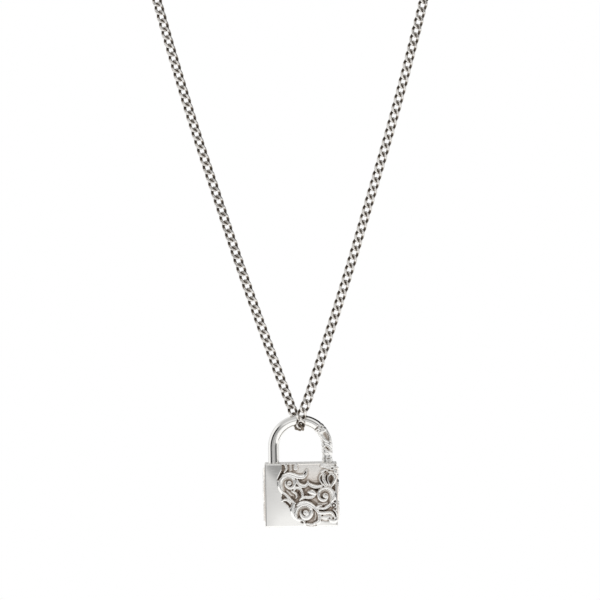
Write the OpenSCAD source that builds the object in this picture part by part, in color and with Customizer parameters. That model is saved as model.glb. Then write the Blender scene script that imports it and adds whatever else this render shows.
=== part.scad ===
// Padlock necklace: a small silver padlock with cast scrollwork, hung by its bow on a flat curb chain.
// The origin is at the nape, where the chain's clasp lies. +Z is up and the front faces -Y.

/* [Padlock body] */
// Width of the padlock body
body_w = 21.8; // [18:0.1:26]
// Height of the padlock body
body_h = 18; // [15:0.1:22]
// Thickness of the padlock body, front to back
body_t = 7.5; // [6.5:0.1:9]
// Radius of the body's corners seen from the front
body_corner = 0.7; // [0.3:0.1:1.2]
// Radius of the edges along the front and back faces
body_edge = 0.35; // [0.2:0.05:0.5]
// Gap between the top of the body and the middle of the bow's crown
body_drop = 13; // [12:0.1:15]

/* [Scrollwork] */
// Depth of the sunk ground behind the scrolls
ground_depth = 0.8; // [0.5:0.1:1.2]
// How far the scrolls stand above the plain front face
scroll_rise = 0.3; // [0.1:0.05:0.5]

/* [Shackle] */
// Diameter of the shackle's bar
shackle_bar = 3.2; // [2.8:0.1:3.4]
// Radius of the bow, at the middle of the bar
shackle_r = 7.95; // [7.5:0.05:8.2]
// Length of each leg inside the body
shackle_seat = 3; // [2:0.1:4]
// Clearance round each leg in its socket
socket_gap = 0.1; // [0.05:0.01:0.15]

/* [Chain] */
// Width of the curb chain
chain_w = 2.9; // [2.6:0.1:3.2]
// Thickness of the chain between its ground flats
chain_t = 1.5; // [1.3:0.1:1.6]
// Distance that the padlock has slid to the right of the chain's lowest point
padlock_slide = 0.5; // [0:0.1:0.6]

/* [Clasp] */
// Diameter of the plain clasp ring, at the middle of its wire
clasp_ring_d = 4.4; // [4.2:0.1:5]
// Diameter of the clasp ring's wire
clasp_wire_d = 0.9; // [0.8:0.05:1]

/* [Hidden] */
$fn = 48;

// Where the middle of the bow's crown hangs, seen from the nape
crown_depth = -103;
crown_height = -178;

// Route of the chain's middle, from under the bow to the clasp. Columns: half width, spread of the
// two strands in front of and behind the bow, depth behind the crown, height above the crown, and
// how far the chain's flat has turned away from the front.
ROUTE = [
    [0, 0, 0, -2.8, 0],
    [0.2, 1.5, 0, -2.6, 0],
    [0.5, 2.8, 0, -1.6, 0],
    [0.8, 3.6, 0, 0, 0],
    [1.3, 3.9, 0, 2, 0],
    [2.8, 3.9, 0, 6, 0],
    [7, 2.9, 0, 18, 0],
    [15, 1.2, 0, 41.6, 0],
    [22.5, 0.3, 0.5, 65.4, 0],
    [29.8, 0, 1.5, 89, 0],
    [36.6, 0, 3.5, 113, 4],
    [43, 0, 8, 137, 16],
    [48.6, 0, 19, 157, 40],
    [51.8, 0, 38, 169, 70],
    [50.4, 0, 61, 175, 98],
    [42, 0, 82, 177.4, 128],
    [26, 0, 97, 178, 154],
    [11, 0, 102.4, 178, 172],
    [2.8, 0, 103, 178, 180]
];
// Rows in which the chain lies round the bow, its flat turned towards the middle of the bar
BOW_ROWS = 4;
ROUTE_STEPS = 2;

// A Catmull-Rom curve through table rows, each stretch cut into equal steps
function spline_row(a, b, c, d, t) =
    0.5 * (2 * b + (c - a) * t + (2 * a - 5 * b + 4 * c - d) * t * t + (3 * b - a - 3 * c + d) * t * t * t);
function spline(rows, steps) = [
    for (i = [0:len(rows) - 2], k = [0:steps - 1])
        spline_row(rows[max(i - 1, 0)], rows[i], rows[i + 1], rows[min(i + 2, len(rows) - 1)], k / steps),
    rows[len(rows) - 1]
];

function unit(v) = v / norm(v);
function place(row, side) = [side * row[0], row[2] - side * row[1], row[3]];

// Section of the chain's outer shape: half width along the flat, half thickness across it
SECTION = [for (p = [[1, 0.5], [0.7, 1], [-0.7, 1], [-1, 0.5], [-1, -0.5], [-0.7, -1], [0.7, -1], [1, -0.5]])
    [p[0] * chain_w / 2, p[1] * chain_t / 2]];
SIDES = len(SECTION);

// One ring of the sweep: the section set square to the route, its flat turned to face outwards
function ring(rows, i, side) =
    let (
        here = place(rows[i], side),
        after = place(rows[min(i + 1, len(rows) - 1)], side),
        before = place(rows[max(i - 1, 0)], side),
        step = after - before,
        along = unit(i == 0 ? [step[0], step[1], 0] : step),
        turn = rows[i][4],
        hint = i <= BOW_ROWS * ROUTE_STEPS ? [0, here[1], here[2]] : [side * sin(turn), -cos(turn), 0],
        face = unit(hint - (hint * along) * along),
        across = cross(face, along)
    ) [for (p = SECTION) here + p[0] * across + p[1] * face];

// The outer shape of one arm of the chain, swept from under the bow to the clasp
module arm(side) {
    rows = spline(ROUTE, ROUTE_STEPS);
    last = len(rows) - 1;
    translate([0, crown_depth, crown_height]) polyhedron(
        points = [for (i = [0:last]) each ring(rows, i, side)],
        faces = concat(
            [[for (k = [0:SIDES - 1]) k]],
            [for (i = [0:last - 1], k = [0:SIDES - 1])
                let (a = i * SIDES + k, b = i * SIDES + (k + 1) % SIDES)
                    each [[a, a + SIDES, b + SIDES], [a, b + SIDES, b]]],
            [[for (k = [SIDES - 1:-1:0]) last * SIDES + k]]
        )
    );
}

module chain_right() {
    color("silver") arm(1);
}

module chain_left() {
    color("silver") arm(-1);
}

// A plain closed ring, on edge to the chain's flat, joins its two ends at the nape
module clasp() {
    color("silver") rotate_extrude()
        translate([clasp_ring_d / 2, 0]) circle(d = clasp_wire_d, $fn = 24);
}

// Moves the padlock from its own frame, the middle of the bow's crown, to where it hangs
module hang() {
    translate([padlock_slide, crown_depth, crown_height]) children();
}

body_mid = -body_drop - body_h / 2;

// A rectangle with round corners, centred
module rounded(w, h, r) {
    square([w - 2 * r, h], center = true);
    square([w, h - 2 * r], center = true);
    for (x = [-1, 1], y = [-1, 1])
        translate([x * (w / 2 - r), y * (h / 2 - r)]) circle(r = r);
}

module body_block() {
    intersection() {
        rotate([90, 0, 0]) linear_extrude(body_t, center = true) rounded(body_w, body_h, body_corner);
        linear_extrude(body_h, center = true) rounded(body_w, body_t, body_edge);
        rotate([90, 0, 90]) linear_extrude(body_w, center = true) rounded(body_t, body_h, body_edge);
    }
}

// Edge of the sunk ground on the front, from the top down the middle and round the right edge
FIELD = [
    [-5.4, 8.2], [-4.9, 7], [-6.6, 4.6], [-6.6, 2.2], [-5.6, 0.2], [-5.5, -1.6], [-3.9, -3.4],
    [-3.3, -5.4], [-1.7, -7.4], [0.4, -8.2], [9.9, -8.2], [9.9, 8.2]
];

// A band has table rows of x, z and half width. Its outline follows a smooth line through them.
function side_step(path, i) = unit([
    path[min(i + 1, len(path) - 1)][0] - path[max(i - 1, 0)][0],
    path[min(i + 1, len(path) - 1)][1] - path[max(i - 1, 0)][1]
]);
function edge_point(path, i, s) =
    [path[i][0] - s * path[i][2] * side_step(path, i)[1], path[i][1] + s * path[i][2] * side_step(path, i)[0]];
function outline(path) = concat(
    [for (i = [0:len(path) - 1]) edge_point(path, i, 1)],
    [for (i = [len(path) - 1:-1:0]) edge_point(path, i, -1)]
);

// A volute curls in round its eye, its rows thinning towards the middle
VOLUTE_POINTS = 22;
function volute(eye, r_out, r_in, from, to, w_out, w_in) = [
    for (i = [0:VOLUTE_POINTS])
        let (t = i / VOLUTE_POINTS, a = from + (to - from) * t, r = r_out + (r_in - r_out) * pow(t, 0.75))
            [eye[0] + r * cos(a), eye[1] + r * sin(a), w_out + (w_in - w_out) * t]
];

// Columns of each row: x, z, half width
STEM = [[0.4, -2.3, 0.15], [-2, -2.6, 0.7], [-4.3, -0.9, 0.85], [-5.8, 1.3, 0.8], [-6, 3, 0.7]];
LEAVES = [
    // leaf from the upper scroll to the right, with its upturned tip
    [[-5.2, 5.9, 0.2], [-2.6, 5.7, 0.8], [0, 5.3, 0.95], [1.1, 6.2, 0.5], [1.6, 7.2, 0.15]],
    // small leaf at the top edge
    [[-4.7, 8.6, 0.7], [-4.2, 7.4, 0.55], [-4.8, 6.3, 0.15]],
    // crescents between the two upper scrolls
    [[-1.9, 4.8, 0.2], [-0.7, 3.5, 0.55], [1.3, 3.1, 0.5], [2, 4, 0.15]],
    [[1.8, 4.9, 0.15], [2.2, 3.2, 0.65], [4, 2.3, 0.7], [6.2, 2.8, 0.4]],
    // the long leaves that fall from the upper right corner
    [[9.6, 7.9, 0.3], [6.8, 6.9, 0.75], [5.6, 5.1, 0.75], [6.2, 3.2, 0.6], [8.2, 1.9, 0.4]],
    [[9.5, 6.5, 0.6], [8.2, 5.4, 0.6], [8.5, 3.4, 0.5], [9.8, 2.3, 0.3]],
    // pleats of the top right corner
    [[5.2, 8.1, 0.4], [7.4, 8.35, 0.4], [9.7, 8.5, 0.4]],
    // curled leaf, bud and stalk in the middle
    [[-3, 2.7, 0.3], [-1.2, 2.3, 0.65], [-0.2, 0.9, 0.65], [-1.2, -0.9, 0.25]],
    [[1.7, 0.3, 0.3], [3.2, 0.2, 1.1], [4.8, 0.1, 0.3]],
    [[5.2, -0.3, 0.2], [3, -1.5, 0.55], [0.6, -1.5, 0.5], [-1.2, -2.4, 0.3]],
    // leaves round the lower scroll
    [[-0.6, -2.3, 0.3], [2.4, -3.1, 0.65], [4.4, -4.9, 0.8], [4.9, -7.2, 0.75], [4, -8.3, 0.4]],
    [[3.4, -3.8, 0.25], [6.1, -4.4, 0.6], [8.4, -3.6, 0.55], [9.9, -1.9, 0.3]],
    [[4.9, -5.7, 0.3], [7.4, -5.6, 0.7], [9.3, -6.4, 0.6], [9.2, -7.9, 0.4]],
    [[-1.8, -6.9, 0.25], [-0.2, -7.9, 0.6], [1.8, -8.3, 0.2]]
];
VOLUTES = [
    volute([-3.6, 3.5], 2.4, 0.7, 170, -160, 0.65, 0.3),
    volute([1, -5.2], 3, 1, 170, -170, 0.8, 0.35),
    volute([6.8, -0.7], 2.8, 0.95, -30, 300, 0.6, 0.35)
];
// Round eyes and beads, domed to the height of the scrolls. Columns: x, z, radius.
EYES = [[-3.6, 3.5, 0.62], [1, -5.2, 0.85], [6.8, -0.7, 0.8], [-1.6, 7.6, 0.6], [9.2, -3.2, 0.5], [8.2, -7.3, 0.5]];
BAND_STEPS = 5;

// Stands the bands on the sunk ground of the front face, each a little higher than the one before
module scrolls() {
    bands = concat([for (rows = LEAVES) spline(rows, BAND_STEPS)], [spline(STEM, BAND_STEPS)], VOLUTES);
    lap = 0.3; // how far the bands root below the ground
    rise_step = 0.01;
    for (i = [0:len(bands) - 1])
        translate([0, -body_t / 2 + ground_depth + lap, 0]) rotate([90, 0, 0])
            linear_extrude(ground_depth + lap + scroll_rise - rise_step * i) polygon(outline(bands[i]));
    for (eye = EYES)
        translate([eye[0], -body_t / 2 + ground_depth + lap, eye[1]]) rotate([90, 0, 0]) {
            stem_h = ground_depth + lap + scroll_rise - eye[2];
            cylinder(r = eye[2], h = stem_h);
            translate([0, 0, stem_h]) sphere(r = eye[2]);
        }
}

// Low leaves that wrap round both sides, as rows of depth, height, half width
SIDE_LEAVES = [
    [[-3.3, 7.4, 0.3], [-1.4, 6.4, 0.6], [0.6, 6.9, 0.5], [2.2, 8, 0.2]],
    [[-3.2, 3.4, 0.3], [-1, 2.2, 0.55], [1.2, 3, 0.45], [2.4, 4.8, 0.2]],
    [[-3.2, -1.4, 0.3], [-1.2, -2.8, 0.6], [1, -2.4, 0.45], [2.6, -0.6, 0.2]],
    [[-3.2, -5.6, 0.3], [-1.2, -6.8, 0.6], [1, -6, 0.45], [2.4, -4.6, 0.2]]
];
side_rise = 0.35;

module side_leaves(side) {
    for (rows = SIDE_LEAVES)
        translate([side * body_w / 2 - side_rise, 0, 0]) rotate([90, 0, 90])
            linear_extrude(2 * side_rise) polygon(outline(spline(rows, BAND_STEPS)));
}

module padlock_body() {
    color("silver") hang() difference() {
        translate([0, 0, body_mid]) {
            difference() {
                body_block();
                translate([0, -body_t / 2 + ground_depth, 0]) rotate([90, 0, 0])
                    linear_extrude(2 * ground_depth) polygon(FIELD);
            }
            scrolls();
            for (side = [-1, 1]) side_leaves(side);
        }
        for (x = [-1, 1])
            translate([x * shackle_r, 0, -body_drop - shackle_seat - socket_gap])
                cylinder(d = shackle_bar + 2 * socket_gap, h = 2 * shackle_seat);
    }
}

// The right side of the shackle is carved from this angle of the bow down, with raised rings left
// at full size. Columns: start angle or height, length and radius of each ring.
bow_mid = -shackle_r;
waist_d = shackle_bar - 0.5;
CARVED_FROM = 44;
BOW_RINGS = [[38, 6, 1.62], [6, 6, 1.55]];
LEG_RINGS = [[-8.9, 0.5, 1.55], [-10.6, 1.2, 1.65], [-11.7, 0.5, 1.5], [-12.9, 0.6, 1.8]];

module bow_part(from, to, d) {
    rotate([90, 0, 0]) rotate_extrude(angle = to - from, start = from)
        translate([shackle_r, 0]) circle(d = d);
}

module shackle() {
    color("silver") hang() {
        translate([0, 0, bow_mid]) {
            bow_part(CARVED_FROM, 180, shackle_bar);
            bow_part(0, CARVED_FROM, waist_d);
            for (ring = BOW_RINGS) bow_part(ring[0], ring[0] + ring[1], 2 * ring[2]);
        }
        translate([-shackle_r, 0, -body_drop - shackle_seat])
            cylinder(d = shackle_bar, h = body_drop + shackle_seat - shackle_r);
        translate([shackle_r, 0, -body_drop - shackle_seat])
            cylinder(d = waist_d, h = body_drop + shackle_seat - shackle_r);
        translate([shackle_r, 0, -body_drop - shackle_seat])
            cylinder(d = shackle_bar, h = shackle_seat - socket_gap);
        for (ring = LEG_RINGS)
            translate([shackle_r, 0, ring[0]]) cylinder(r = ring[2], h = ring[1]);
    }
}

padlock_body();
shackle();
chain_right();
chain_left();
clasp();
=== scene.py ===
# Padlock necklace: a silver padlock with carved scrollwork on a flat curb chain.
# Lengths are written in millimetres and turned to metres as each piece is put in its place.
import math

import bpy
import numpy as np
from mathutils import Matrix, Vector


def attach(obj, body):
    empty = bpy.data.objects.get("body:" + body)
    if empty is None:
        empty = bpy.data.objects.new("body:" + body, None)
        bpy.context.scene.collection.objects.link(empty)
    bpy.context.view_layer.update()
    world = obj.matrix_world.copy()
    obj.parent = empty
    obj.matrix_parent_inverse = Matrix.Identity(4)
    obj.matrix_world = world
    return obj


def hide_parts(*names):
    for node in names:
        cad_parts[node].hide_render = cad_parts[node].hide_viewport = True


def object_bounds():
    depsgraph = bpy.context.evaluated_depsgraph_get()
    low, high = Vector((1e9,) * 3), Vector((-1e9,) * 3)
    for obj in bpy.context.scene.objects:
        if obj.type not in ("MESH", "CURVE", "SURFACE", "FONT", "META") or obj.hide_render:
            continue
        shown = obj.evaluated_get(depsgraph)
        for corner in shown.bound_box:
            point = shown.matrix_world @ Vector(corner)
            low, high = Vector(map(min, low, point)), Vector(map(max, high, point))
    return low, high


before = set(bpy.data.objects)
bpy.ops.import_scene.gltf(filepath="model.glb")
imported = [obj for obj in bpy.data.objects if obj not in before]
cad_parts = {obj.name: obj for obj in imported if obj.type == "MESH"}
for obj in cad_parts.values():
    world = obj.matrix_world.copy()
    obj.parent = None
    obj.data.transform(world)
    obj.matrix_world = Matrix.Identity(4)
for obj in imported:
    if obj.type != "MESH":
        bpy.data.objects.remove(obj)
cad_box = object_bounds()

# Camera
# It stands level in front of the padlock, a little above it, and leans 1 degree to the right, so
# that the V of the chain fills the upper part of the frame and runs out over its top edge.
MM = 0.001
VIEW_DISTANCE = 650
VIEW_WIDTH = 178.2
VIEW_ROLL = 1.0
CROWN = Vector((0, -103, -178))  # middle of the bar at the top of the bow, before it slid aside
AIM = CROWN + Vector((1.17, 0, 35.7))
bpy.ops.object.select_all(action="DESELECT")
bpy.ops.object.camera_add(
    location=(AIM + Vector((0, -VIEW_DISTANCE, 0))) * MM,
    rotation=(math.radians(90), math.radians(VIEW_ROLL), 0),
)
camera = bpy.context.object
camera.data.sensor_width = 36
camera.data.lens = camera.data.sensor_width * VIEW_DISTANCE / VIEW_WIDTH
camera.data.clip_start = 0.01
camera.data.clip_end = 20
bpy.context.scene.camera = camera

# Curb chain
# Each link is a closed ring of round silver wire, drawn long and twisted so that its two ends lean
# opposite ways. Linked into one another they lie flat, and the chain is then ground on both faces.
CHAIN_WIDTH = 2.95
CHAIN_THICKNESS = 1.5
LINK_PITCH = 2.65
LINK_WIRE = 0.88
LINK_PLAY = 0.04  # between two links where they meet
TWIST_SLOPE = -0.6  # of each twisted end, across the chain
TWIST_REACH = 0.8  # from a link's middle to where it is fully twisted
HALF_LENGTH = (LINK_PITCH + LINK_WIRE + LINK_PLAY) / 2  # of the oval that the wire's middle follows
HALF_WIDTH = (CHAIN_WIDTH - LINK_WIRE) / 2
LINK_SEGMENTS = 14
WIRE_SIDES = 6
TO_METRES = Matrix.Diagonal((MM, MM, MM, 1))

# Route of the chain's middle, as in the part's source. Columns: half width, spread of the two
# strands in front of and behind the bow, depth, height above the crown, and turn of the flat.
ROUTE = [
    (2.8, 3.9, 0, 6, 0),
    (7, 2.9, 0, 18, 0),
    (15, 1.2, 0, 41.6, 0),
    (22.5, 0.3, 0.5, 65.4, 0),
    (29.8, 0, 1.5, 89, 0),
    (36.6, 0, 3.5, 113, 4),
    (43, 0, 8, 137, 16),
    (48.6, 0, 19, 157, 40),
    (51.8, 0, 38, 169, 70),
    (50.4, 0, 61, 175, 98),
    (42, 0, 82, 177.4, 128),
    (26, 0, 97, 178, 154),
    (11, 0, 102.4, 178, 172),
    (2.8, 0, 103, 178, 180),
    (1.7, 0, 103, 178, 180),
]
# Where the four links meet that pass under the bar, from the front strand to the back: x, depth
# and height from the bar's middle. Each has its flat to the bar but for some roll, and painted
# shade where it lies in the bar's shadow.
BOW_JOINTS = [
    Vector((0.5, -2.85, 0.8)), Vector((0.8, -2.3, -1.75)), Vector((0.1, 0.2, -2.5)),
    Vector((-0.5, 2.35, -1)), Vector((-1.2, 2.85, 1.5)),
]
BOW_LINKS = [(35, 0), (20, 0.4), (10, 0.4), (10, 0.2)]  # roll in degrees, and painted shade
ROUTE_STEPS = 40  # between two rows of the route


def spline(rows, steps):
    """A smooth curve through table rows, each stretch cut into equal steps."""
    rows = np.array(rows, float)
    padded = np.vstack([rows[:1], rows, rows[-1:]])
    t = (np.arange(steps) / steps)[:, None]
    parts = []
    for a, b, c, d in zip(padded, padded[1:], padded[2:], padded[3:]):
        curve = (3 * b - a - 3 * c + d) * t**3 + (2 * a - 5 * b + 4 * c - d) * t**2
        parts.append(0.5 * (2 * b + (c - a) * t + curve))
    return np.vstack([*parts, rows[-1:]])


def arm_joints(side):
    """The points at which one arm's links meet, from the bar on, and the turn of the flat there."""
    first = BOW_JOINTS[0] if side > 0 else BOW_JOINTS[-1]
    path = spline([(side * first.x, abs(first.y), 0, first.z, 0), *ROUTE], ROUTE_STEPS)
    points = np.column_stack([side * path[:, 0], path[:, 2] - side * path[:, 1], path[:, 3]])
    run = np.append(0, np.cumsum(np.linalg.norm(np.diff(points, axis=0), axis=1)))
    count = round(run[-1] / LINK_PITCH)
    stops = np.linspace(0, run[-1], count + 1)
    joints = [Vector([np.interp(s, run, points[:, k]) for k in range(3)]) for s in stops]
    return joints, [float(np.interp(s, run, path[:, 4])) for s in stops]


def link_place(start, end, face_hint):
    """The place of a link between two joints, its flat turned towards the hint."""
    along = (end - start).normalized()
    face = (face_hint - face_hint.dot(along) * along).normalized()
    across = face.cross(along)
    turn = Matrix((along, across, face)).transposed().to_4x4()
    return Matrix.Translation((start + end) / 2) @ turn


SCRATCH_DEPTH = -0.12  # beside the height of the shallow dents


def wear_group():
    """Wear that all the silver shares: soft cloudy tone, fine scratches and shallow dents."""
    group = bpy.data.node_groups.new("silver_wear", "ShaderNodeTree")
    interface = group.interface
    for name, value in (("Cloud Scale", 300), ("Scratch Scale", 2500)):
        socket = interface.new_socket(name, in_out="INPUT", socket_type="NodeSocketFloat")
        socket.default_value = value
    for name in ("Cloud", "Scratches", "Height"):
        interface.new_socket(name, in_out="OUTPUT", socket_type="NodeSocketFloat")
    nodes, links = group.nodes, group.links
    given = nodes.new("NodeGroupInput")
    result = nodes.new("NodeGroupOutput")
    place = nodes.new("ShaderNodeTexCoord")
    cloud = nodes.new("ShaderNodeTexNoise")
    cloud.inputs["Detail"].default_value = 4
    stretch = nodes.new("ShaderNodeMapping")
    stretch.inputs["Rotation"].default_value = (0.3, 0.5, 0.9)
    stretch.inputs["Scale"].default_value = (0.12, 1, 1)
    scratch = nodes.new("ShaderNodeTexNoise")
    scratch.inputs["Detail"].default_value = 3
    lines = nodes.new("ShaderNodeMapRange")
    lines.inputs["From Min"].default_value = 0.55
    lines.inputs["From Max"].default_value = 0.72
    sum_up = nodes.new("ShaderNodeMath")
    sum_up.operation = "MULTIPLY_ADD"
    sum_up.inputs[1].default_value = SCRATCH_DEPTH
    links.new(place.outputs["Object"], cloud.inputs["Vector"])
    links.new(given.outputs["Cloud Scale"], cloud.inputs["Scale"])
    links.new(place.outputs["Object"], stretch.inputs["Vector"])
    links.new(stretch.outputs["Vector"], scratch.inputs["Vector"])
    links.new(given.outputs["Scratch Scale"], scratch.inputs["Scale"])
    links.new(scratch.outputs["Fac"], lines.inputs["Value"])
    links.new(lines.outputs["Result"], sum_up.inputs[0])
    links.new(cloud.outputs["Fac"], sum_up.inputs[2])
    links.new(cloud.outputs["Fac"], result.inputs["Cloud"])
    links.new(lines.outputs["Result"], result.inputs["Scratches"])
    links.new(sum_up.outputs["Value"], result.inputs["Height"])
    return group


silver_wear = wear_group()
SATIN_ROUGHNESS = 0.25  # added where the silver is left satin


def silver(name, bright, dull, smooth, rough, dent, cloud_scale, tarnish_and_shade):
    """Worn silver, darkened by patina and painted shade where the mesh's attribute for them is
    high, and satin where satin is.

    bright and dull are its two polished tones, smooth and rough the ends of its roughness, dent the
    strength of its bump, and the last argument the tones that patina and painted shade bring on,
    from thin to thick."""
    material = bpy.data.materials.new(name)
    material.use_nodes = True
    nodes, links = material.node_tree.nodes, material.node_tree.links
    shader = nodes["Principled BSDF"]
    wear = nodes.new("ShaderNodeGroup")
    wear.node_tree = silver_wear
    wear.inputs["Cloud Scale"].default_value = cloud_scale
    # The attribute read here carries patina, and painted shade in hollows and between links
    patina_and_shade = nodes.new("ShaderNodeAttribute")
    patina_and_shade.attribute_name = "patina_and_shade"
    polish = nodes.new("ShaderNodeMix")
    polish.data_type = "RGBA"
    polish.inputs["A"].default_value = (*bright, 1)
    polish.inputs["B"].default_value = (*dull, 1)
    # Tones that patina and painted shade bring on, from thin to thick
    tarnish_and_shade_ramp = nodes.new("ShaderNodeValToRGB")
    tarnish_and_shade_ramp.color_ramp.elements.remove(tarnish_and_shade_ramp.color_ramp.elements[1])
    tarnish_and_shade_ramp.color_ramp.elements[0].position = tarnish_and_shade[0][0]
    tarnish_and_shade_ramp.color_ramp.elements[0].color = (*tarnish_and_shade[0][1], 1)
    for position, tone in tarnish_and_shade[1:]:
        tarnish_and_shade_ramp.color_ramp.elements.new(position).color = (*tone, 1)
    cover = nodes.new("ShaderNodeMapRange")
    cover.inputs["From Min"].default_value = 0.05
    cover.inputs["From Max"].default_value = 0.35
    paint = nodes.new("ShaderNodeMix")
    paint.data_type = "RGBA"
    shine = nodes.new("ShaderNodeMapRange")
    shine.inputs["To Min"].default_value = smooth
    shine.inputs["To Max"].default_value = rough
    matte = nodes.new("ShaderNodeMapRange")
    matte.inputs["From Max"].default_value = 0.6
    matte.inputs["To Max"].default_value = 0.45
    both = nodes.new("ShaderNodeMath")
    both.operation = "ADD"
    satin = nodes.new("ShaderNodeAttribute")
    satin.attribute_name = "satin"
    soften = nodes.new("ShaderNodeMath")
    soften.operation = "MULTIPLY_ADD"
    soften.inputs[1].default_value = SATIN_ROUGHNESS
    metal = nodes.new("ShaderNodeMapRange")
    metal.inputs["From Min"].default_value = 0.1
    metal.inputs["From Max"].default_value = 0.7
    metal.inputs["To Min"].default_value = 1
    metal.inputs["To Max"].default_value = 0.35
    bump = nodes.new("ShaderNodeBump")
    bump.inputs["Strength"].default_value = dent
    bump.inputs["Distance"].default_value = 0.00004
    links.new(wear.outputs["Cloud"], polish.inputs["Factor"])
    links.new(patina_and_shade.outputs["Fac"], tarnish_and_shade_ramp.inputs["Fac"])
    links.new(patina_and_shade.outputs["Fac"], cover.inputs["Value"])
    links.new(cover.outputs["Result"], paint.inputs["Factor"])
    links.new(polish.outputs["Result"], paint.inputs["A"])
    links.new(tarnish_and_shade_ramp.outputs["Color"], paint.inputs["B"])
    links.new(paint.outputs["Result"], shader.inputs["Base Color"])
    links.new(wear.outputs["Scratches"], shine.inputs["Value"])
    links.new(patina_and_shade.outputs["Fac"], matte.inputs["Value"])
    links.new(shine.outputs["Result"], both.inputs[0])
    links.new(matte.outputs["Result"], both.inputs[1])
    links.new(satin.outputs["Fac"], soften.inputs[0])
    links.new(both.outputs["Value"], soften.inputs[2])
    links.new(soften.outputs["Value"], shader.inputs["Roughness"])
    links.new(patina_and_shade.outputs["Fac"], metal.inputs["Value"])
    links.new(metal.outputs["Result"], shader.inputs["Metallic"])
    links.new(wear.outputs["Height"], bump.inputs["Height"])
    links.new(bump.outputs["Normal"], shader.inputs["Normal"])
    return material


chain_silver = silver(
    "chain_silver",
    bright=(0.9, 0.88, 0.85),
    dull=(0.68, 0.65, 0.61),
    smooth=0.14,
    rough=0.26,
    dent=0.2,
    cloud_scale=900,
    tarnish_and_shade=[(0, (0.6, 0.54, 0.48)), (0.5, (0.18, 0.14, 0.1)), (1, (0.03, 0.022, 0.016))],
)


def vertices(piece):
    """The places of a mesh's vertices, as rows."""
    rows = np.empty(len(piece.data.vertices) * 3)
    piece.data.vertices.foreach_get("co", rows)
    return rows.reshape(-1, 3)


def move_vertices(piece, rows):
    """Puts a mesh's vertices at the places in the rows."""
    piece.data.vertices.foreach_set("co", np.asarray(rows, np.float32).ravel())
    piece.data.update()


def set_finish(piece, name, values):
    """Keeps how darkened (by patina and painted shade) or satin each vertex is, for the silver's
    material.
    """
    finish = piece.data.attributes.new(name, "FLOAT", "POINT")
    finish.data.foreach_set("value", np.asarray(values, np.float32))


bpy.ops.object.select_all(action="DESELECT")
bpy.ops.mesh.primitive_torus_add(
    major_segments=LINK_SEGMENTS,
    minor_segments=WIRE_SIDES,
    major_radius=HALF_WIDTH,
    minor_radius=LINK_WIRE / 2,
)
link = bpy.context.object
ring = vertices(link)
from_wire = np.hypot(ring[:, 0], ring[:, 1]) - HALF_WIDTH
unit_x, unit_y = ring[:, 0] / (from_wire + HALF_WIDTH), ring[:, 1] / (from_wire + HALF_WIDTH)
stretch = np.hypot(HALF_WIDTH * unit_x, HALF_LENGTH * unit_y)
ring[:, 0] = unit_x * (HALF_LENGTH + from_wire * HALF_WIDTH / stretch)
ring[:, 1] = unit_y * (HALF_WIDTH + from_wire * HALF_LENGTH / stretch)
over_wire = ring[:, 2].copy()
leaning = TWIST_SLOPE * HALF_WIDTH * unit_y * np.clip(ring[:, 0] / TWIST_REACH, -1, 1)
ring[:, 2] += leaning
move_vertices(link, ring)
# Patina that polishing never reaches, and painted shade, darken the sides that face the next link,
# at both ends of the oval
END_START, END_FADE = 0.5, 0.3  # of a link's ends, as shares of its half length
LEAN_GAIN, LEAN_START = 4.5, 0.45  # of the patina and painted shade where a link leans under the next
INNER_GAIN, INNER_START = 3, 0.5  # of the patina and painted shade on the inner side of its wire
at_end = np.clip((np.abs(ring[:, 0]) / HALF_LENGTH - END_START) / END_FADE, 0, 1)
under_next = np.clip(-LEAN_GAIN * leaning * np.sign(np.round(over_wire, 3)) - LEAN_START, 0, 1)
inside_end = at_end * np.clip(-INNER_GAIN * from_wire / LINK_WIRE - INNER_START, 0, 1)
# Both darkenings are patina together with painted shade where the links overlap
set_finish(link, "patina_and_shade", np.maximum(under_next, inside_end))
bpy.ops.object.mode_set(mode="EDIT")
for face_side in (-1, 1):
    bpy.ops.mesh.select_all(action="SELECT")
    bpy.ops.mesh.bisect(
        plane_co=(0, 0, face_side * CHAIN_THICKNESS / 2),
        plane_no=(0, 0, face_side),
        use_fill=True,
        clear_outer=True,
    )
bpy.ops.mesh.select_mode(type="FACE")
bpy.ops.mesh.select_all(action="DESELECT")
bpy.ops.object.mode_set(mode="OBJECT")
JUST_INSIDE = 0.499 * CHAIN_THICKNESS  # the two ground faces, from the middle
for face in link.data.polygons:
    face.select = abs(face.center.z) > JUST_INSIDE
bpy.ops.object.mode_set(mode="EDIT")
bpy.ops.mesh.region_to_loop()
bpy.ops.mesh.mark_sharp()
bpy.ops.object.mode_set(mode="OBJECT")
bpy.ops.object.shade_smooth()
link.data.materials.append(chain_silver)


def lay_links(name, places, node):
    """Copies the link to each place and joins the copies to one piece."""
    copies = []
    for place, painted_shade in places:
        copy = bpy.data.objects.new(name, link.data.copy())
        # Each copy is darkened further by its own painted shade
        for point in copy.data.attributes["patina_and_shade"].data:
            point.value = min(point.value + painted_shade, 1)
        copy.data.transform(TO_METRES @ Matrix.Translation(CROWN) @ place)
        bpy.context.collection.objects.link(copy)
        copies.append(copy)
    bpy.ops.object.select_all(action="DESELECT")
    for copy in copies:
        copy.select_set(True)
    bpy.context.view_layer.objects.active = copies[0]
    bpy.ops.object.join()
    piece = bpy.context.object
    piece.name = name
    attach(piece, "chain")
    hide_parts(node)


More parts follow.
